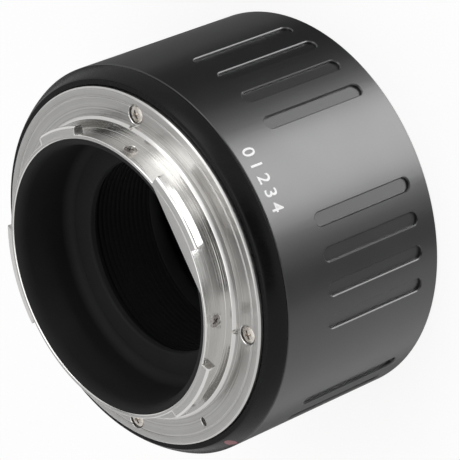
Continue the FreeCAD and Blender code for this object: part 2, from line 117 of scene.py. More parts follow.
# Lens seat ring, locating pin and lug ring: ground tool steel, the faces that
# centre the lens and pull it home. Grinding leaves fine straight lay in one
# direction, which shows as a faint grain in a grey metal.
ground_steel = new_material("ground_tool_steel")
place = add_node(ground_steel, "ShaderNodeTexCoord", {})
stretch = add_node(ground_steel, "ShaderNodeMapping", {
    "Vector": place.outputs["Object"], "Scale": (0.06, 1, 1)})
lay = add_node(ground_steel, "ShaderNodeTexNoise", {
    "Vector": stretch.outputs["Vector"], "Scale": 1 / (0.2 * MM), "Detail": 3})
tone = add_node(ground_steel, "ShaderNodeMix", {
    0: lay.outputs["Fac"], 6: linear_colour("#8f8f92"), 7: linear_colour("#b4b4b6")}, data_type="RGBA")
sheen = add_node(ground_steel, "ShaderNodeMapRange", {
    "Value": lay.outputs["Fac"], "To Min": 0.26, "To Max": 0.4})
scratches = add_node(ground_steel, "ShaderNodeBump", {
    "Strength": 0.2, "Distance": 0.01 * MM, "Height": lay.outputs["Fac"]})
finish = add_node(ground_steel, "ShaderNodeBsdfPrincipled", {
    "Base Color": tone.outputs[2], "Metallic": 1.0, "Roughness": sheen.outputs["Result"],
    "Normal": scratches.outputs["Normal"]})
add_node(ground_steel, "ShaderNodeOutputMaterial", {"Surface": finish.outputs["BSDF"]})
for name in ("lens_seat_ring", "locating_pin", "lug_ring"):
    coat(nodes[name], ground_steel)


# Stop screw and the grub screws of the lug ring: hardened steel, oil-blackened.
# The blacking is thin, and brown shows through it in places.
blackened_steel = new_material("oil_blackened_steel")
place = add_node(blackened_steel, "ShaderNodeTexCoord", {})
patches = add_node(blackened_steel, "ShaderNodeTexNoise", {
    "Vector": place.outputs["Object"], "Scale": 1 / (0.8 * MM), "Detail": 4})
tone = add_node(blackened_steel, "ShaderNodeMix", {
    0: patches.outputs["Fac"], 6: linear_colour("#1d1c1c"), 7: linear_colour("#3a3430")}, data_type="RGBA")
sheen = add_node(blackened_steel, "ShaderNodeMapRange", {
    "Value": patches.outputs["Fac"], "To Min": 0.3, "To Max": 0.5})
finish = add_node(blackened_steel, "ShaderNodeBsdfPrincipled", {
    "Base Color": tone.outputs[2], "Metallic": 0.9, "Roughness": sheen.outputs["Result"]})
add_node(blackened_steel, "ShaderNodeOutputMaterial", {"Surface": finish.outputs["BSDF"]})
coat(nodes["stop_screw"], blackened_steel)
coat(nodes["lug_ring_lock_screws"], blackened_steel)


# Glide rings: acetal, turned from tube and slid on over the inner tube. They have
# a waxy off-white surface with faint rings from the tool.
acetal = new_material("turned_acetal")
place = add_node(acetal, "ShaderNodeTexCoord", {})
wave_period = 0.314  # how far apart the rings of a Wave texture lie at a scale of 1
tooling = add_node(acetal, "ShaderNodeTexWave", {
    "Vector": place.outputs["Object"], "Scale": wave_period / (0.25 * MM)},
    wave_type="RINGS", rings_direction="Z")
cloud = add_node(acetal, "ShaderNodeTexNoise", {
    "Vector": place.outputs["Object"], "Scale": 1 / (3 * MM)})
tone = add_node(acetal, "ShaderNodeMix", {
    0: cloud.outputs["Fac"], 6: linear_colour("#e4e1d6"), 7: linear_colour("#efede6")}, data_type="RGBA")
rings = add_node(acetal, "ShaderNodeBump", {
    "Strength": 0.2, "Distance": 0.01 * MM, "Height": tooling.outputs["Fac"]})
finish = add_node(acetal, "ShaderNodeBsdfPrincipled", {
    "Base Color": tone.outputs[2], "Roughness": 0.4, "IOR": 1.48, "Normal": rings.outputs["Normal"]})
add_node(acetal, "ShaderNodeOutputMaterial", {"Surface": finish.outputs["BSDF"]})
coat(nodes["lower_glide_ring"], acetal)
coat(nodes["upper_glide_ring"], acetal)


# Thrust washers: stamped from rolled phosphor bronze and slid on over the inner
# tube. The metal is brown-gold with a soft sheen, a little tarnished.
bronze = new_material("rolled_phosphor_bronze")
place = add_node(bronze, "ShaderNodeTexCoord", {})
tarnish = add_node(bronze, "ShaderNodeTexNoise", {
    "Vector": place.outputs["Object"], "Scale": 1 / (1.5 * MM), "Detail": 4})
tone = add_node(bronze, "ShaderNodeMix", {
    0: tarnish.outputs["Fac"], 6: linear_colour("#a8743f"), 7: linear_colour("#c79a5e")}, data_type="RGBA")
finish = add_node(bronze, "ShaderNodeBsdfPrincipled", {
    "Base Color": tone.outputs[2], "Metallic": 1.0, "Roughness": 0.35})
add_node(bronze, "ShaderNodeOutputMaterial", {"Surface": finish.outputs["BSDF"]})
coat(nodes["thrust_washers"], bronze)


# Dust seal: a ring of pressed grey wool felt below the lower bearing. It is matt
# and fibrous, with a soft light along its edges.
felt = new_material("pressed_grey_felt")
place = add_node(felt, "ShaderNodeTexCoord", {})
fibres = add_node(felt, "ShaderNodeTexNoise", {
    "Vector": place.outputs["Object"], "Scale": 1 / (0.15 * MM), "Detail": 5, "Roughness": 0.7})
tone = add_node(felt, "ShaderNodeMix", {
    0: fibres.outputs["Fac"], 6: linear_colour("#55555a"), 7: linear_colour("#7b7b80")}, data_type="RGBA")
fluff = add_node(felt, "ShaderNodeBump", {
    "Strength": 0.8, "Distance": 0.05 * MM, "Height": fibres.outputs["Fac"]})
finish = add_node(felt, "ShaderNodeBsdfPrincipled", {
    "Base Color": tone.outputs[2], "Roughness": 0.95, "Sheen Weight": 0.4, "Normal": fluff.outputs["Normal"]})
add_node(felt, "ShaderNodeOutputMaterial", {"Surface": finish.outputs["BSDF"]})
coat(nodes["dust_seal"], felt)


# Ribbed liner, stop plate and throat lining: aluminium turnings painted with a
# dead matt black, so that they swallow stray light. The paint lies a little
# uneven, and catches light only as a weak grey bloom on edges and flat faces.
FACETS = 288


def pick(piece):
    """Make a piece the only one that is selected, and the active one."""
    bpy.ops.object.select_all(action="DESELECT")
    bpy.context.view_layer.objects.active = piece
    piece.select_set(True)


def face_outwards():
    """Point all faces of the piece in edit mode outwards, and leave edit mode."""
    bpy.ops.mesh.select_all(action="SELECT")
    bpy.ops.mesh.normals_make_consistent(inside=False)
    bpy.ops.object.mode_set(mode="OBJECT")


def round_edges(piece, width, segments):
    """Round the sharp edges of a piece."""
    pick(piece)
    edge = piece.modifiers.new("edge", "BEVEL")
    edge.width = width * MM
    edge.segments = segments
    edge.limit_method = "ANGLE"
    edge.angle_limit = math.radians(30)
    bpy.ops.object.modifier_apply(modifier=edge.name)


def turned(name, outline, edge_round=0.0):
    """Turn a closed outline of (radius, height) corners about the optical axis."""
    bpy.ops.object.select_all(action="DESELECT")
    radius, height = outline[0]
    bpy.ops.mesh.primitive_circle_add(vertices=FACETS, radius=radius * MM, location=(0, 0, height * MM))
    piece = bpy.context.object
    piece.name = name
    bpy.ops.object.transform_apply()
    bpy.ops.object.mode_set(mode="EDIT")
    for next_radius, next_height in outline[1:] + outline[:1]:
        bpy.ops.mesh.extrude_edges_move(TRANSFORM_OT_translate={"value": (0, 0, (next_height - height) * MM)})
        share = next_radius / radius
        bpy.ops.transform.resize(value=(share, share, 1), center_override=(0, 0, 0))
        radius, height = next_radius, next_height
    bpy.ops.mesh.select_all(action="SELECT")
    bpy.ops.mesh.remove_doubles(threshold=0.001 * MM)
    face_outwards()
    if edge_round:
        round_edges(piece, edge_round, segments=3)
    return piece


def bore_out(piece, tool, operation="DIFFERENCE"):
    """Cut a tool's shape from a piece, join it or keep what both share, and remove the tool."""
    pick(piece)
    cut = piece.modifiers.new("cut", "BOOLEAN")
    cut.operation = operation
    cut.solver = "EXACT"
    cut.object = tool
    bpy.ops.object.modifier_apply(modifier=cut.name)
    bpy.data.objects.remove(tool)


def smooth(piece):
    """Shade a piece smoothly, with its flat faces kept flat."""
    pick(piece)
    bpy.ops.object.shade_smooth_by_angle(angle=math.radians(32))
    flat = piece.modifiers.new("flat", "WEIGHTED_NORMAL")
    flat.keep_sharp = True
    bpy.ops.object.modifier_apply(modifier=flat.name)


matt_paint = new_material("matt_black_paint")
place = add_node(matt_paint, "ShaderNodeTexCoord", {})
spray = add_node(matt_paint, "ShaderNodeTexNoise", {
    "Vector": place.outputs["Object"], "Scale": 1 / (0.3 * MM), "Detail": 4, "Roughness": 0.6})
drift = add_node(matt_paint, "ShaderNodeTexNoise", {
    "Vector": place.outputs["Object"], "Scale": 1 / (6 * MM)})
tone = add_node(matt_paint, "ShaderNodeMix", {
    0: drift.outputs["Fac"], 6: linear_colour("#131314"), 7: linear_colour("#1c1c1d")}, data_type="RGBA")
dust = add_node(matt_paint, "ShaderNodeBump", {
    "Strength": 0.5, "Distance": 0.02 * MM, "Height": spray.outputs["Fac"]})
finish = add_node(matt_paint, "ShaderNodeBsdfPrincipled", {
    "Base Color": tone.outputs[2], "Roughness": 0.75, "Specular IOR Level": 0.2,
    "Normal": dust.outputs["Normal"]})
add_node(matt_paint, "ShaderNodeOutputMaterial", {"Surface": finish.outputs["BSDF"]})

liner_bottom, liner_top, liner_bore, liner_outside = 18.1, 31.1, 17.6, 19.9
liner_flange, liner_flange_bottom, liner_flange_top = 24.0, 26.6, 28.1
rib_count, rib_pitch, first_rib = 12, 1.0, 0.5
rib_depth, rib_step, rib_width = 0.2, 0.1, 0.9
outline = [
    (liner_bore, liner_top), (liner_outside, liner_top),
    (liner_outside, liner_flange_top), (liner_flange, liner_flange_top),
    (liner_flange, liner_flange_bottom), (liner_outside, liner_flange_bottom),
    (liner_outside, liner_bottom), (liner_bore, liner_bottom)]
for rib in range(rib_count):
    low = liner_bottom + first_rib + rib * rib_pitch
    outline += [(liner_bore, low), (liner_bore + rib_depth, low + rib_step), (liner_bore, low + rib_width)]
liner = turned("light_trap_liner", outline)
smooth(liner)
# The liner, deepest in the bore, gets a darker copy of the paint with less sheen; its darker colour is
# painted shade for the depth of the bore.
shaded_liner_paint = matt_paint.copy()
shaded_liner_paint.name = "liner_paint_with_painted_shade"
for socket, sheet_hex in ((6, "#070707"), (7, "#0b0b0b")):
    shaded_liner_paint.node_tree.nodes["Mix"].inputs[socket].default_value = linear_colour(sheet_hex)
shaded_liner_paint.node_tree.nodes["Principled BSDF"].inputs["Specular IOR Level"].default_value = 0.1
coat(liner, shaded_liner_paint)
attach(liner, "mount_body")
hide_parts("ribbed_liner")

stop_top, stop_hole, stop_bevel, lining_radius = 32.3, 16.8, 0.3, 23.65
fine_edge = 0.05
stop_plate = turned("stop_plate", [
    (stop_hole, liner_top), (lining_radius, liner_top), (lining_radius, stop_top),
    (stop_hole + stop_bevel, stop_top), (stop_hole, stop_top - stop_bevel)], fine_edge)
smooth(stop_plate)
coat(stop_plate, matt_paint)
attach(stop_plate, "mount_body")
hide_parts("stop_baffle")

pad_angle, pad_distance, pad_bottom = math.radians(38), 22.0, 38.94


def pad_block(distance, bottom, top, reach):
    """The space beyond the chord that carries the collar's flat pad."""
    bpy.ops.object.select_all(action="DESELECT")
    bpy.ops.mesh.primitive_cylinder_add(vertices=FACETS, radius=reach * MM, depth=(top - bottom) * MM,
                                        location=(0, 0, (top + bottom) / 2 * MM))
    block = bpy.context.object
    bpy.ops.object.transform_apply()
    bpy.ops.object.mode_set(mode="EDIT")
    bpy.ops.mesh.select_all(action="SELECT")
    towards = Vector((math.cos(pad_angle), math.sin(pad_angle), 0))
    bpy.ops.mesh.bisect(plane_co=towards * distance * MM, plane_no=towards, use_fill=True, clear_inner=True)
    face_outwards()
    return block


def quarter_turn(steps):
    """The angles of a quarter turn in even steps."""
    return [math.radians(90 * step / steps) for step in range(steps + 1)]


collar_rim, rim_bevel = 43.34, 0.15
lining_bore, lining_top, mouth_edge, mouth_depth = 22.3, collar_rim - rim_bevel, 0.25, 1.9
lip_bore, lip_thickness = 20.6, 0.04
mouth_width = lining_radius - mouth_edge - lining_bore
lip_width = lining_bore - lip_bore
outline = [(lip_bore, stop_top), (lining_radius, stop_top), (lining_radius, lining_top)]
for turn in quarter_turn(8):
    outline.append((lining_bore + mouth_width * (1 - math.sin(turn)),
                    lining_top - mouth_depth * (1 - math.cos(turn))))
for turn in quarter_turn(8):
    outline.append((lip_bore + lip_width * math.cos(turn),
                    stop_top + lip_thickness + lip_width * (1 - math.sin(turn))))
lining = turned("throat_lining", outline)
pad_gap, above_rim, past_lining = 0.05, 1.0, 25.0
bore_out(lining, pad_block(pad_distance - pad_gap, pad_bottom - pad_gap, collar_rim + above_rim, past_lining))
smooth(lining)
coat(lining, matt_paint)
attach(lining, "mount_body")
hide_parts("throat_baffle")


# Shoulder ring: aluminium, turned to a soft bulge, drilled for the index dot and
# polished before it is anodised black, so it is darker and glossier than the
# sleeve under it.
def cutter(width, depth, at, facing, flare=0.0, stretch=0.0):
    """A round cutter, which a flare opens by a small chamfer at its mouth.

    It stands at a radius, angle and height. Its mouth faces "up" or "out", and "along"
    turns one that faces up so that its length points away from the axis. A stretch
    makes it longer than it is wide, with round ends.
    """
    half, reach = width / 2 * MM, stretch / 2 * MM
    mouth, corners = 0.3, 40
    bpy.ops.object.select_all(action="DESELECT")
    bpy.ops.mesh.primitive_circle_add(vertices=corners, radius=half, fill_type="NGON",
                                      location=(0, 0, -depth * MM), rotation=(0, 0, math.pi / corners))
    tool = bpy.context.object
    bpy.ops.object.transform_apply()
    for corner in tool.data.vertices:
        corner.co.y += math.copysign(reach, corner.co.y)
    bpy.ops.object.mode_set(mode="EDIT")
    bpy.ops.mesh.select_all(action="SELECT")
    bpy.ops.mesh.extrude_region_move(TRANSFORM_OT_translate={"value": (0, 0, (depth - flare) * MM)})
    bpy.ops.mesh.extrude_region_move(TRANSFORM_OT_translate={"value": (0, 0, (flare + mouth) * MM)})
    if flare:
        grown = (flare + mouth) * MM
        bpy.ops.transform.resize(value=((half + grown) / half, (half + reach + grown) / (half + reach), 1),
                                 center_override=(0, 0, 0))
    face_outwards()
    radius, angle, height = at
    across = Matrix.Rotation(math.pi / 2, 4, "Z")
    lay = {"up": Matrix(), "along": across, "out": Matrix.Rotation(math.pi / 2, 4, "Y") @ across}[facing]
    shift = Matrix.Translation((radius * MM, 0, height * MM))
    tool.data.transform(Matrix.Rotation(math.radians(angle), 4, "Z") @ shift @ lay)
    return tool


def own_copy(piece):
    """A copy of a piece with its own mesh."""
    copy = piece.copy()
    copy.data = piece.data.copy()
    bpy.context.collection.objects.link(copy)
    return copy


shoulder_bottom, shoulder_top, recess_floor, shoulder_bore = 34.25, 37.1, 35.8, 24.95
shoulder_low_radius, shoulder_top_radius, recess_radius = 33.75, 32.3, 31.15
low_bevel, top_bevel, bulge, slope_steps = 0.15, 0.25, 0.12, 10
slope_bottom, slope_top = shoulder_bottom + low_bevel, shoulder_top - top_bevel
outline = [(shoulder_bore, shoulder_bottom), (shoulder_low_radius - low_bevel, shoulder_bottom)]
for step in range(slope_steps + 1):
    share = step / slope_steps
    straight = shoulder_low_radius + (shoulder_top_radius - shoulder_low_radius) * share
    outline.append((straight + 4 * bulge * share * (1 - share),
                    slope_bottom + (slope_top - slope_bottom) * share))
outline += [
    (shoulder_top_radius - top_bevel, shoulder_top), (recess_radius, shoulder_top),
    (recess_radius, recess_floor), (shoulder_bore, recess_floor)]
shoulder = turned("shoulder_ring_polished", outline, edge_round=0.06)
blank = own_copy(shoulder)

dot_angle, dot_height, dot_floor, dot_reach, dot_width = -47.5, 35.67, 31.55, 4.0, 2.0
dot_place = (dot_floor + dot_reach, dot_angle, dot_height)
bore_out(shoulder, cutter(dot_width, dot_reach, dot_place, "out"))
smooth(shoulder)

polished_anodise = new_material("polished_black_anodised_aluminium")
place = add_node(polished_anodise, "ShaderNodeTexCoord", {})
handling = add_node(polished_anodise, "ShaderNodeTexNoise", {
    "Vector": place.outputs["Object"], "Scale": 1 / (2.5 * MM), "Detail": 5, "Roughness": 0.65})
tone = add_node(polished_anodise, "ShaderNodeMix", {
    0: handling.outputs["Fac"], 6: linear_colour("#070708"), 7: linear_colour("#0e0e0f")}, data_type="RGBA")
sheen = add_node(polished_anodise, "ShaderNodeMapRange", {
    "Value": handling.outputs["Fac"], "To Min": 0.2, "To Max": 0.34})
finish = add_node(polished_anodise, "ShaderNodeBsdfPrincipled", {
    "Base Color": tone.outputs[2], "Roughness": sheen.outputs["Result"], "Specular IOR Level": 0.14})
add_node(polished_anodise, "ShaderNodeOutputMaterial", {"Surface": finish.outputs["BSDF"]})
coat(shoulder, polished_anodise)
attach(shoulder, "mount_body")
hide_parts("shoulder_ring")


# Index dot: a plug of dull red enamel, poured into its hole and polished flush
# with the shoulder ring. The enamel is a little cloudy, and its face ripples.
plug_gap = 0.03
plug = cutter(dot_width - 2 * plug_gap, dot_reach, dot_place, "out")
plug.name = "index_dot_enamel"
bore_out(plug, blank, "INTERSECT")
smooth(plug)

enamel = new_material("dull_red_enamel")
place = add_node(enamel, "ShaderNodeTexCoord", {})
flow = add_node(enamel, "ShaderNodeTexNoise", {
    "Vector": place.outputs["Object"], "Scale": 1 / (0.5 * MM), "Detail": 3})
tone = add_node(enamel, "ShaderNodeMix", {
    0: flow.outputs["Fac"], 6: linear_colour("#6e2b33"), 7: linear_colour("#8d4850")}, data_type="RGBA")
ripple = add_node(enamel, "ShaderNodeBump", {
    "Strength": 0.3, "Distance": 0.02 * MM, "Height": flow.outputs["Fac"]})
finish = add_node(enamel, "ShaderNodeBsdfPrincipled", {
    "Base Color": tone.outputs[2], "Roughness": 0.35, "Normal": ripple.outputs["Normal"]})
add_node(enamel, "ShaderNodeOutputMaterial", {"Surface": finish.outputs["BSDF"]})
coat(plug, enamel)
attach(plug, "mount_body")
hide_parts("index_dot")


# Shim: a ring of rolled brass foil between the shoulder and the flange, chosen by
# its thickness to set the focus. It is hidden once it is built in.
brass = new_material("rolled_brass_foil")
place = add_node(brass, "ShaderNodeTexCoord", {})
rolling = add_node(brass, "ShaderNodeTexNoise", {
    "Vector": place.outputs["Object"], "Scale": 1 / (0.5 * MM), "Detail": 3})
tone = add_node(brass, "ShaderNodeMix", {
    0: rolling.outputs["Fac"], 6: linear_colour("#b8923e"), 7: linear_colour("#d2b05c")}, data_type="RGBA")
finish = add_node(brass, "ShaderNodeBsdfPrincipled", {
    "Base Color": tone.outputs[2], "Metallic": 1.0, "Roughness": 0.3})
add_node(brass, "ShaderNodeOutputMaterial", {"Surface": finish.outputs["BSDF"]})
coat(nodes["flange_shim"], brass)


# Camera bayonet: one brass turning with flange, register step, collar and lugs,
# milled, then chromed. The flange keeps its fine facing lines, which give a grey
# satin metal, while the collar is polished and mirrors what is round it.
flange_face, flange_bottom, flange_radius, flange_bevel = 37.9, 36.0, 31.0, 0.3
groove_inside, groove_outside, groove_depth = 29.3, 29.55, 0.15
register_radius, register_top, register_bevel = 26.3, 39.0, 0.45
collar_radius, collar_bore = 24.4, 23.7
spigot_radius, spigot_bottom = 24.9, 33.25
bayonet = turned("chromed_bayonet", [
    (collar_bore, spigot_bottom), (spigot_radius, spigot_bottom), (spigot_radius, flange_bottom),
    (flange_radius, flange_bottom), (flange_radius, flange_face - flange_bevel),
    (flange_radius - flange_bevel, flange_face), (groove_outside, flange_face),
    (groove_outside, flange_face - groove_depth), (groove_inside, flange_face - groove_depth),
    (groove_inside, flange_face), (register_radius, flange_face),
    (register_radius, register_top - register_bevel), (register_radius - register_bevel, register_top),
    (collar_radius, register_top), (collar_radius, collar_rim - rim_bevel),
    (collar_radius - rim_bevel, collar_rim), (collar_bore + rim_bevel, collar_rim),
    (collar_bore, collar_rim - rim_bevel)], fine_edge)

# The lugs and the pad end a hair under the rim, so that no two faces lie in one plane.
rim_gap, lug_height = 0.02, 1.9
lug_top, lug_bottom = collar_rim - rim_gap, collar_rim - lug_height
lug_root, lug_radius, lug_shelf, lug_fall = 24.1, 25.75, 0.2, 0.15
lug_bevel_width, lug_bevel_height = 0.35, 0.33
lug_arcs = ((31.6, 61.6), (107.6, 130.6), (180.1, 219.9), (312.1, 344.4))
pad_reach = 24.05


def sector(outline, start, arc):
    """Part of a ring, spun from its outline of (radius, height) corners."""
    bpy.ops.object.select_all(action="DESELECT")
    bpy.ops.mesh.primitive_circle_add(vertices=len(outline), radius=MM, fill_type="NGON")
    block = bpy.context.object
    for corner, (radius, height) in zip(block.data.vertices, outline):
        corner.co = (radius * MM, 0, height * MM)
    block.data.transform(Matrix.Rotation(math.radians(start), 4, "Z"))
    bpy.ops.object.mode_set(mode="EDIT")
    bpy.ops.mesh.select_all(action="SELECT")
    bpy.ops.mesh.spin(steps=round(arc * FACETS / 360), angle=math.radians(arc),
                      center=(0, 0, 0), axis=(0, 0, -1))
    face_outwards()
    return block


for start, end in lug_arcs:
    lug = sector([
        (lug_root, lug_bottom), (lug_radius, lug_bottom), (lug_radius, lug_top - lug_fall - lug_bevel_height),
        (lug_radius - lug_bevel_width, lug_top - lug_fall), (lug_root + lug_shelf, lug_top),
        (lug_root, lug_top)], start, end - start)
    round_edges(lug, width=0.06, segments=2)
    bore_out(bayonet, lug, "UNION")
bore_out(bayonet, pad_block(pad_distance, pad_bottom, lug_top, pad_reach), "UNION")

# Each flange screw sits in a recess, and the register step has a small notch beside it.
screw_circle, flange_screw_angles, recess_width, recess_depth = 28.2, (-87.1, -2.4, 87.1, 177.6), 3.3, 0.9
notch_width, notch_depth = 0.9, 1.1
for angle in flange_screw_angles:
    bore_out(bayonet, cutter(recess_width, recess_depth, (screw_circle, angle, flange_face),
                             "up", flare=0.12))
    bore_out(bayonet, cutter(notch_width, notch_depth, (register_radius, angle, register_top), "up"))

pin_slot_width, pin_slot_length, pin_slot_depth = 1.0, 1.5, 1.3
pin_slot_place = (28.05, -49.8, flange_face)
bore_out(bayonet, cutter(pin_slot_width, pin_slot_depth, pin_slot_place, "along", flare=0.08,
                         stretch=pin_slot_length - pin_slot_width))

throat_screw_angles, throat_screw_height = (2.4, 80.4, 155.0, 255.0), 41.25
throat_hole_width, throat_hole_depth = 2.2, 0.5
for angle in throat_screw_angles:
    bore_out(bayonet, cutter(throat_hole_width, throat_hole_depth,
                             (collar_radius, angle, throat_screw_height), "out", flare=0.06))
smooth(bayonet)

# The facing lines are drawn 0.25 mm apart, coarser than real ones, so that they show.
polished_radius = 25.9
chrome = new_material("chromed_brass")
place = add_node(chrome, "ShaderNodeTexCoord", {})
flat_place = add_node(chrome, "ShaderNodeVectorMath", {
    0: place.outputs["Object"], 1: (1, 1, 0)}, operation="MULTIPLY")
from_axis = add_node(chrome, "ShaderNodeVectorMath", {0: flat_place.outputs[0]}, operation="LENGTH")
heights = add_node(chrome, "ShaderNodeSeparateXYZ", {"Vector": place.outputs["Object"]})
feed = add_node(chrome, "ShaderNodeMath", {
    0: from_axis.outputs["Value"], 1: heights.outputs["Z"]}, operation="ADD")
facing_lines = add_node(chrome, "ShaderNodeTexNoise", {
    "W": feed.outputs[0], "Scale": 1 / (0.25 * MM), "Detail": 2}, noise_dimensions="1D")
smears = add_node(chrome, "ShaderNodeTexNoise", {
    "Vector": place.outputs["Object"], "Scale": 1 / (5 * MM), "Detail": 3})
worn = add_node(chrome, "ShaderNodeMix", {
    0: smears.outputs["Fac"], 6: linear_colour("#c6c5c3"), 7: linear_colour("#d4d3d1")}, data_type="RGBA")
turning = add_node(chrome, "ShaderNodeMapRange", {
    "Value": facing_lines.outputs["Fac"], "From Min": 0.3, "From Max": 0.7, "To Min": 0.0, "To Max": 0.45})
turned_tone = add_node(chrome, "ShaderNodeMix", {
    0: turning.outputs["Result"], 6: worn.outputs[2], 7: linear_colour("#979694")}, data_type="RGBA")
polished_part = add_node(chrome, "ShaderNodeMath", {
    0: from_axis.outputs["Value"], 1: polished_radius * MM}, operation="LESS_THAN")
tone = add_node(chrome, "ShaderNodeMix", {
    0: polished_part.outputs[0], 6: turned_tone.outputs[2], 7: linear_colour("#cfcecc")}, data_type="RGBA")
sheen = add_node(chrome, "ShaderNodeMapRange", {
    "Value": polished_part.outputs[0], "To Min": 0.28, "To Max": 0.16})
lines = add_node(chrome, "ShaderNodeBump", {
    "Strength": 0.5, "Distance": 0.05 * MM, "Height": facing_lines.outputs["Fac"]})
finish = add_node(chrome, "ShaderNodeBsdfPrincipled", {
    "Base Color": tone.outputs[2], "Metallic": 1.0, "Roughness": sheen.outputs["Result"],
    "Normal": lines.outputs["Normal"]})
add_node(chrome, "ShaderNodeOutputMaterial", {"Surface": finish.outputs["BSDF"]})
coat(bayonet, chrome)
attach(bayonet, "mount_body")
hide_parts("bayonet_mount")


# Screws of the flange, the throat lining and the lens seat: crowned cross-head
# screws of bright nickelled steel, a little worn where the driver has turned.
# Those in the collar's wall get a darker copy of the same steel.
def screw(name, radius, head, shank, length, spin):
    """A crowned cross-head screw with its head's top at the origin."""
    crown, corners = 0.3 * head, 48
    crown_shares = (0.96, 0.88, 0.76, 0.6, 0.4, 0.2)
    bpy.ops.object.select_all(action="DESELECT")
    bpy.ops.mesh.primitive_circle_add(vertices=corners, radius=shank * MM, fill_type="NGON",
                                      location=(0, 0, -length * MM))
    piece = bpy.context.object
    piece.name = name
    bpy.ops.object.transform_apply()
    bpy.ops.object.mode_set(mode="EDIT")
    bpy.ops.mesh.select_all(action="SELECT")
    profile = [(shank, -head), (radius, -head), (radius, -crown)]
    profile += [(radius * share, -crown * share ** 2) for share in crown_shares]
    reached, level = shank, -length
    for next_reached, next_level in profile:
        bpy.ops.mesh.extrude_region_move(TRANSFORM_OT_translate={"value": (0, 0, (next_level - level) * MM)})
        share = next_reached / reached
        bpy.ops.transform.resize(value=(share, share, 1), center_override=(0, 0, 0))
        reached, level = next_reached, next_level
    face_outwards()
    slot_length, slot_width, slot_depth = 1.4 * radius, 0.32 * radius, 0.7 * head
    taper_along, taper_across = 0.6, 0.7
    for quarter in (0, math.pi / 2):
        bpy.ops.object.select_all(action="DESELECT")
        bpy.ops.mesh.primitive_cube_add(size=MM)
        slot = bpy.context.object
        slot.scale = (slot_length, slot_width, 2 * slot_depth)
        bpy.ops.object.transform_apply()
        for corner in slot.data.vertices:
            if corner.co.z < 0:
                corner.co.x *= taper_along
                corner.co.y *= taper_across
        slot.data.transform(Matrix.Rotation(quarter, 4, "Z"))
        bore_out(piece, slot)
    piece.data.transform(Matrix.Rotation(math.radians(spin), 4, "Z"))
    return piece


nickelled_steel = new_material("nickelled_steel")
place = add_node(nickelled_steel, "ShaderNodeTexCoord", {})
wear = add_node(nickelled_steel, "ShaderNodeTexNoise", {
    "Vector": place.outputs["Object"], "Scale": 1 / (0.4 * MM), "Detail": 4})
tone = add_node(nickelled_steel, "ShaderNodeMix", {
    0: wear.outputs["Fac"], 6: linear_colour("#b3aca3"), 7: linear_colour("#e0dbd5")}, data_type="RGBA")
sheen = add_node(nickelled_steel, "ShaderNodeMapRange", {
    "Value": wear.outputs["Fac"], "To Min": 0.18, "To Max": 0.36})
finish = add_node(nickelled_steel, "ShaderNodeBsdfPrincipled", {
    "Base Color": tone.outputs[2], "Metallic": 1.0, "Roughness": sheen.outputs["Result"]})
add_node(nickelled_steel, "ShaderNodeOutputMaterial", {"Surface": finish.outputs["BSDF"]})
coat(nodes["seat_screws"], nickelled_steel)
darker_nickelled_steel = nickelled_steel.copy()
darker_nickelled_steel.name = "darker_copy_of_nickelled_steel"
for socket, sheet_hex in ((6, "#7e7b78"), (7, "#aeaba8")):
    darker_nickelled_steel.node_tree.nodes["Mix"].inputs[socket].default_value = linear_colour(sheet_hex)

flange_screw = screw("flange_screw", radius=1.4, head=0.85, shank=0.8, length=6.2, spin=30)
throat_screw = screw("throat_screw", radius=1.1, head=0.5, shank=0.6, length=1.9, spin=35)
head_drop = 0.05
in_flange = Matrix.Translation((screw_circle * MM, 0, (flange_face - head_drop) * MM))
in_collar = (Matrix.Translation((collar_radius * MM, 0, throat_screw_height * MM))
             @ Matrix.Rotation(math.pi / 2, 4, "Y"))
places = [(flange_screw, nickelled_steel, "flange_screws", in_flange, angle) for angle in flange_screw_angles]
places += [(throat_screw, darker_nickelled_steel, "throat_screws", in_collar, angle) for angle in throat_screw_angles]
for number, (pattern, steel, node_name, seat, angle) in enumerate(places):
    copy = own_copy(pattern)
    copy.name = pattern.name + "_" + str(number + 1)
    copy.data.transform(Matrix.Rotation(math.radians(angle), 4, "Z") @ seat)
    smooth(copy)
    coat(copy, steel)
    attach(copy, "mount_body")
    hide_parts(node_name)
bpy.data.objects.remove(flange_screw)
bpy.data.objects.remove(throat_screw)


# Grip sleeve: the outer tube that is turned by hand to lock the lens. Aluminium,
# with six groups of four milled grip slots, bead-blasted, slots deburred, then
# anodised satin black, which gives a broad soft highlight and bright thin edges.
sleeve_radius, sleeve_bore, sleeve_top = 33.75, 31.3, 34.15
foot, top_edge = 0.2, 0.15
land_radius, land_bottom, land_top = 30.3, 32.9, 33.8
outline = [(sleeve_bore, 0.0)]
for turn in quarter_turn(6):
    outline.append((sleeve_radius - foot + foot * math.sin(turn), foot - foot * math.cos(turn)))
outline += [
    (sleeve_radius, sleeve_top - top_edge), (sleeve_radius - top_edge, sleeve_top), (sleeve_bore, sleeve_top),
    (sleeve_bore, land_top), (land_radius, land_top), (land_radius, land_bottom), (sleeve_bore, land_bottom)]
sleeve = turned("grip_sleeve_anodised", outline, fine_edge)

group_count, group_slots, group_angle, slot_pitch = 6, 4, 12.3, 10.0
slot_low, slot_length, slot_width, slot_depth = 3.7, 21.3, 2.3, 0.55
for group in range(group_count):
    for slot in range(group_slots):
        angle = group_angle + group * 360 / group_count + (slot - (group_slots - 1) / 2) * slot_pitch
        bore_out(sleeve, cutter(slot_width, slot_depth, (sleeve_radius, angle, slot_low + slot_length / 2),
                                "out", flare=0.18, stretch=slot_length - slot_width))

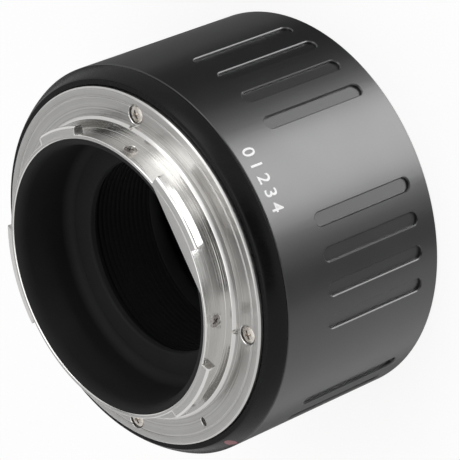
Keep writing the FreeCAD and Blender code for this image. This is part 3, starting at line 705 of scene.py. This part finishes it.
# A pocket inside the wall limits the turn at the stop screw, and three notches in
# the bore take the lock screws of the lug ring.
stop_angle, stop_margin, sleeve_travel = 140.0, 2.23, 45
pocket_inside, pocket_outside, pocket_bottom, pocket_top = 30.8, 32.2, 18.6, 21.4
bore_out(sleeve, sector([
    (pocket_inside, pocket_bottom), (pocket_outside, pocket_bottom), (pocket_outside, pocket_top),
    (pocket_inside, pocket_top)], stop_angle - stop_margin, sleeve_travel + 2 * stop_margin))
lock_notch_width, lock_notch_reach, lock_notch_top, lock_notch_angles = 1.4, 4.0, 2.6, (45, 165, 285)
for angle in lock_notch_angles:
    bore_out(sleeve, cutter(lock_notch_width, lock_notch_reach, (sleeve_bore, angle, lock_notch_top), "up"))
smooth(sleeve)

satin_anodise = new_material("satin_black_anodised_aluminium")
place = add_node(satin_anodise, "ShaderNodeTexCoord", {})
blast = add_node(satin_anodise, "ShaderNodeTexNoise", {
    "Vector": place.outputs["Object"], "Scale": 1 / (0.2 * MM), "Detail": 2})
handling = add_node(satin_anodise, "ShaderNodeTexNoise", {
    "Vector": place.outputs["Object"], "Scale": 1 / (9 * MM), "Detail": 4})
tone = add_node(satin_anodise, "ShaderNodeMix", {
    0: blast.outputs["Fac"], 6: linear_colour("#131314"), 7: linear_colour("#1b1b1c")}, data_type="RGBA")
sheen = add_node(satin_anodise, "ShaderNodeMapRange", {
    "Value": handling.outputs["Fac"], "To Min": 0.3, "To Max": 0.36})
grain = add_node(satin_anodise, "ShaderNodeBump", {
    "Strength": 0.15, "Distance": 0.01 * MM, "Height": blast.outputs["Fac"]})
finish = add_node(satin_anodise, "ShaderNodeBsdfPrincipled", {
    "Base Color": tone.outputs[2], "Roughness": sheen.outputs["Result"], "IOR": 1.62,
    "Normal": grain.outputs["Normal"]})
add_node(satin_anodise, "ShaderNodeOutputMaterial", {"Surface": finish.outputs["BSDF"]})
coat(sleeve, satin_anodise)
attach(sleeve, "locking_sleeve")
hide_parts("grip_sleeve")


# Numerals: plain index numbers, pad-printed on the sleeve in white epoxy ink,
# which lies as a thin film with a soft sheen and small gaps in its cover.
numeral_count, numeral_height, numeral_level = 5, 2.4, 31.5
first_numeral, numeral_pitch = 51.5, 4.2
type_size, film, spread = 1.4 * numeral_height, 0.02, 0.03
ink = new_material("white_epoxy_ink")
place = add_node(ink, "ShaderNodeTexCoord", {})
coverage = add_node(ink, "ShaderNodeTexNoise", {
    "Vector": place.outputs["Object"], "Scale": 1 / (0.3 * MM), "Detail": 3})
tone = add_node(ink, "ShaderNodeMix", {
    0: coverage.outputs["Fac"], 6: linear_colour("#cfcfcf"), 7: linear_colour("#eeeeee")}, data_type="RGBA")
finish = add_node(ink, "ShaderNodeBsdfPrincipled", {"Base Color": tone.outputs[2], "Roughness": 0.5})
add_node(ink, "ShaderNodeOutputMaterial", {"Surface": finish.outputs["BSDF"]})
upright = Matrix.Rotation(math.pi / 2, 4, "Y") @ Matrix.Rotation(-math.pi / 2, 4, "Z")
on_sleeve = Matrix.Translation((sleeve_radius * MM, 0, numeral_level * MM)) @ upright
for number in range(numeral_count):
    bpy.ops.object.select_all(action="DESELECT")
    bpy.ops.object.text_add()
    numeral = bpy.context.object
    numeral.data.body = str(number)
    numeral.data.size = type_size * MM
    numeral.data.align_x = "CENTER"
    numeral.data.align_y = "CENTER"
    numeral.data.extrude = film * MM
    numeral.data.offset = spread * MM
    bpy.ops.object.convert(target="MESH")
    numeral = bpy.context.object
    numeral.name = "printed_numeral_" + str(number)
    angle = first_numeral - number * numeral_pitch
    numeral.data.transform(Matrix.Rotation(math.radians(angle), 4, "Z") @ on_sleeve)
    coat(numeral, ink)
    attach(numeral, "locking_sleeve")


# Floor, camera and light: a white light table that mirror-like reflections pass
# through, so that the lamp and the cards under it show in the black tube. Under
# the tube's middle it stays whole, and for the camera it glows an even white.
floor_size, floor_level, whole_radius, glow_share = 8, -0.1, 18, 0.85
bpy.ops.object.select_all(action="DESELECT")
bpy.ops.mesh.primitive_plane_add(size=floor_size, location=(0, 0, floor_level * MM))
floor = bpy.context.object
floor.name = "white_table"
table_white = new_material("white_table_paint")
table = add_node(table_white, "ShaderNodeBsdfDiffuse", {"Color": linear_colour("#fcfcfc")})
spot = add_node(table_white, "ShaderNodeNewGeometry", {})
ray = add_node(table_white, "ShaderNodeLightPath", {})
from_tube = add_node(table_white, "ShaderNodeVectorMath", {0: spot.outputs["Position"]}, operation="LENGTH")
round_tube = add_node(table_white, "ShaderNodeMath", {
    0: from_tube.outputs["Value"], 1: whole_radius * MM}, operation="GREATER_THAN")
through = add_node(table_white, "ShaderNodeMath", {
    0: ray.outputs["Is Glossy Ray"], 1: ray.outputs["Is Shadow Ray"]}, operation="MAXIMUM")
through = add_node(table_white, "ShaderNodeMath", {
    0: through.outputs[0], 1: round_tube.outputs[0]}, operation="MULTIPLY")
through = add_node(table_white, "ShaderNodeMath", {
    0: through.outputs[0], 1: spot.outputs["Backfacing"]}, operation="MAXIMUM")
glow = add_node(table_white, "ShaderNodeEmission", {
    "Color": (1, 1, 1, 1), "Strength": ray.outputs["Is Camera Ray"]})
lit = add_node(table_white, "ShaderNodeMixShader", {
    0: glow_share, 1: table.outputs["BSDF"], 2: glow.outputs["Emission"]})
clear = add_node(table_white, "ShaderNodeBsdfTransparent", {})
seen = add_node(table_white, "ShaderNodeMixShader", {
    0: through.outputs[0], 1: lit.outputs["Shader"], 2: clear.outputs["BSDF"]})
add_node(table_white, "ShaderNodeOutputMaterial", {"Surface": seen.outputs["Shader"]})
coat(floor, table_white)
floor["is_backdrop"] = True

# The camera stands where the photographer stood, turned on its side as the tube stands here.
camera_azimuth, camera_elevation, camera_roll, camera_distance = 34.434, 37.807, -112.116, 508
looked_at = Vector((0.207, -0.329, 15.606))
camera_data = bpy.data.cameras.new("camera")
camera_data.lens = 234.74
camera_data.sensor_width = 36
camera_data.clip_start = 0.01
camera = bpy.data.objects.new("camera", camera_data)
bpy.context.collection.objects.link(camera)
turn = Matrix.Rotation(math.radians(camera_azimuth + 90), 4, "Z")
tilt = Matrix.Rotation(math.radians(90 - camera_elevation), 4, "X")
roll = Matrix.Rotation(math.radians(camera_roll), 4, "Z")
back = Matrix.Translation((0, 0, camera_distance * MM))
camera.matrix_world = Matrix.Translation(looked_at * MM) @ turn @ tilt @ roll @ back
bpy.context.scene.camera = camera


def aim(thing, azimuth, elevation, distance):
    """Set a lamp or a card at a distance in metres from the tube, facing it."""
    across, rise = math.radians(azimuth), math.radians(elevation)
    towards = Vector((math.cos(rise) * math.cos(across), math.cos(rise) * math.sin(across), math.sin(rise)))
    thing.location = towards * distance
    thing.rotation_euler = towards.to_track_quat("Z", "Y").to_euler()


def softbox(name, azimuth, elevation, distance, size, watts):
    """A square area lamp that faces the tube."""
    lamp = bpy.data.lights.new(name, "AREA")
    lamp.size = size
    lamp.energy = watts
    box = bpy.data.objects.new(name, lamp)
    bpy.context.collection.objects.link(box)
    aim(box, azimuth, elevation, distance)


softbox("under_table_softbox", 51, -38, distance=0.8, size=0.6, watts=7)
softbox("top_softbox", 30, 75, distance=0.9, size=0.85, watts=3.5)
softbox("side_softbox", 95, 38, distance=0.9, size=0.4, watts=1.1)


def flag(name, azimuth, elevation, distance, size, cloth):
    """A card that faces the tube, outside the camera's view and seen only in reflections."""
    bpy.ops.object.select_all(action="DESELECT")
    bpy.ops.mesh.primitive_plane_add(size=size)
    card = bpy.context.object
    card.name = name
    aim(card, azimuth, elevation, distance)
    card.visible_camera = False
    coat(card, cloth)
    card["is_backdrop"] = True


black_card = new_material("black_card")
cloth = add_node(black_card, "ShaderNodeBsdfDiffuse", {"Color": linear_colour("#181818")})
add_node(black_card, "ShaderNodeOutputMaterial", {"Surface": cloth.outputs["BSDF"]})
grey_card = new_material("grey_card")
cloth = add_node(grey_card, "ShaderNodeBsdfDiffuse", {"Color": linear_colour("#8c8c8c")})
add_node(grey_card, "ShaderNodeOutputMaterial", {"Surface": cloth.outputs["BSDF"]})
# The white card glows a little, as if more light fell on it: painted light that brightens it in reflections.
glowing_white_card = new_material("glowing_white_card")
cloth = add_node(glowing_white_card, "ShaderNodeBsdfPrincipled", {
    "Base Color": linear_colour("#f0f0f0"), "Roughness": 1.0, "Emission Color": (1, 1, 1, 1),
    "Emission Strength": 0.2})
add_node(glowing_white_card, "ShaderNodeOutputMaterial", {"Surface": cloth.outputs["BSDF"]})
flag("camera_flag", 20, 43, distance=1.5, size=1.3, cloth=black_card)
flag("under_table_flag_1", 123, -38, distance=1.2, size=0.95, cloth=black_card)
flag("under_table_flag_2", -8, -38, distance=1.2, size=0.45, cloth=black_card)
flag("under_table_card_1", 182, -38, distance=1.3, size=1.2, cloth=grey_card)
flag("under_table_card_2", -125, -38, distance=1.3, size=1.0, cloth=grey_card)
flag("facing_card", 214, 42, distance=1.3, size=0.9, cloth=glowing_white_card)
flag("side_flag", 165, 38, distance=1.3, size=0.5, cloth=black_card)

# The room is plain white. It is full white where it is seen or mirrored, and dimmer as a light.
world = bpy.data.worlds.new("white_studio")
bpy.context.scene.world = world
world.use_nodes = True
world.node_tree.nodes.clear()
world.cycles.sampling_method = "NONE"
ray = add_node(world, "ShaderNodeLightPath", {})
clear_view = add_node(world, "ShaderNodeMath", {
    0: ray.outputs["Is Camera Ray"], 1: ray.outputs["Is Glossy Ray"]}, operation="MAXIMUM")
clear_view = add_node(world, "ShaderNodeMath", {
    0: clear_view.outputs[0], 1: ray.outputs["Is Transmission Ray"]}, operation="MAXIMUM")
room = add_node(world, "ShaderNodeBackground", {"Color": (1, 1, 1, 1), "Strength": 0.65})
white = add_node(world, "ShaderNodeBackground", {"Color": (1, 1, 1, 1), "Strength": 1.0})
seen = add_node(world, "ShaderNodeMixShader", {
    0: clear_view.outputs[0], 1: room.outputs["Background"], 2: white.outputs["Background"]})
add_node(world, "ShaderNodeOutputWorld", {"Surface": seen.outputs["Shader"]})

bpy.context.scene.view_settings.view_transform = "Standard"

low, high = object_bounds()
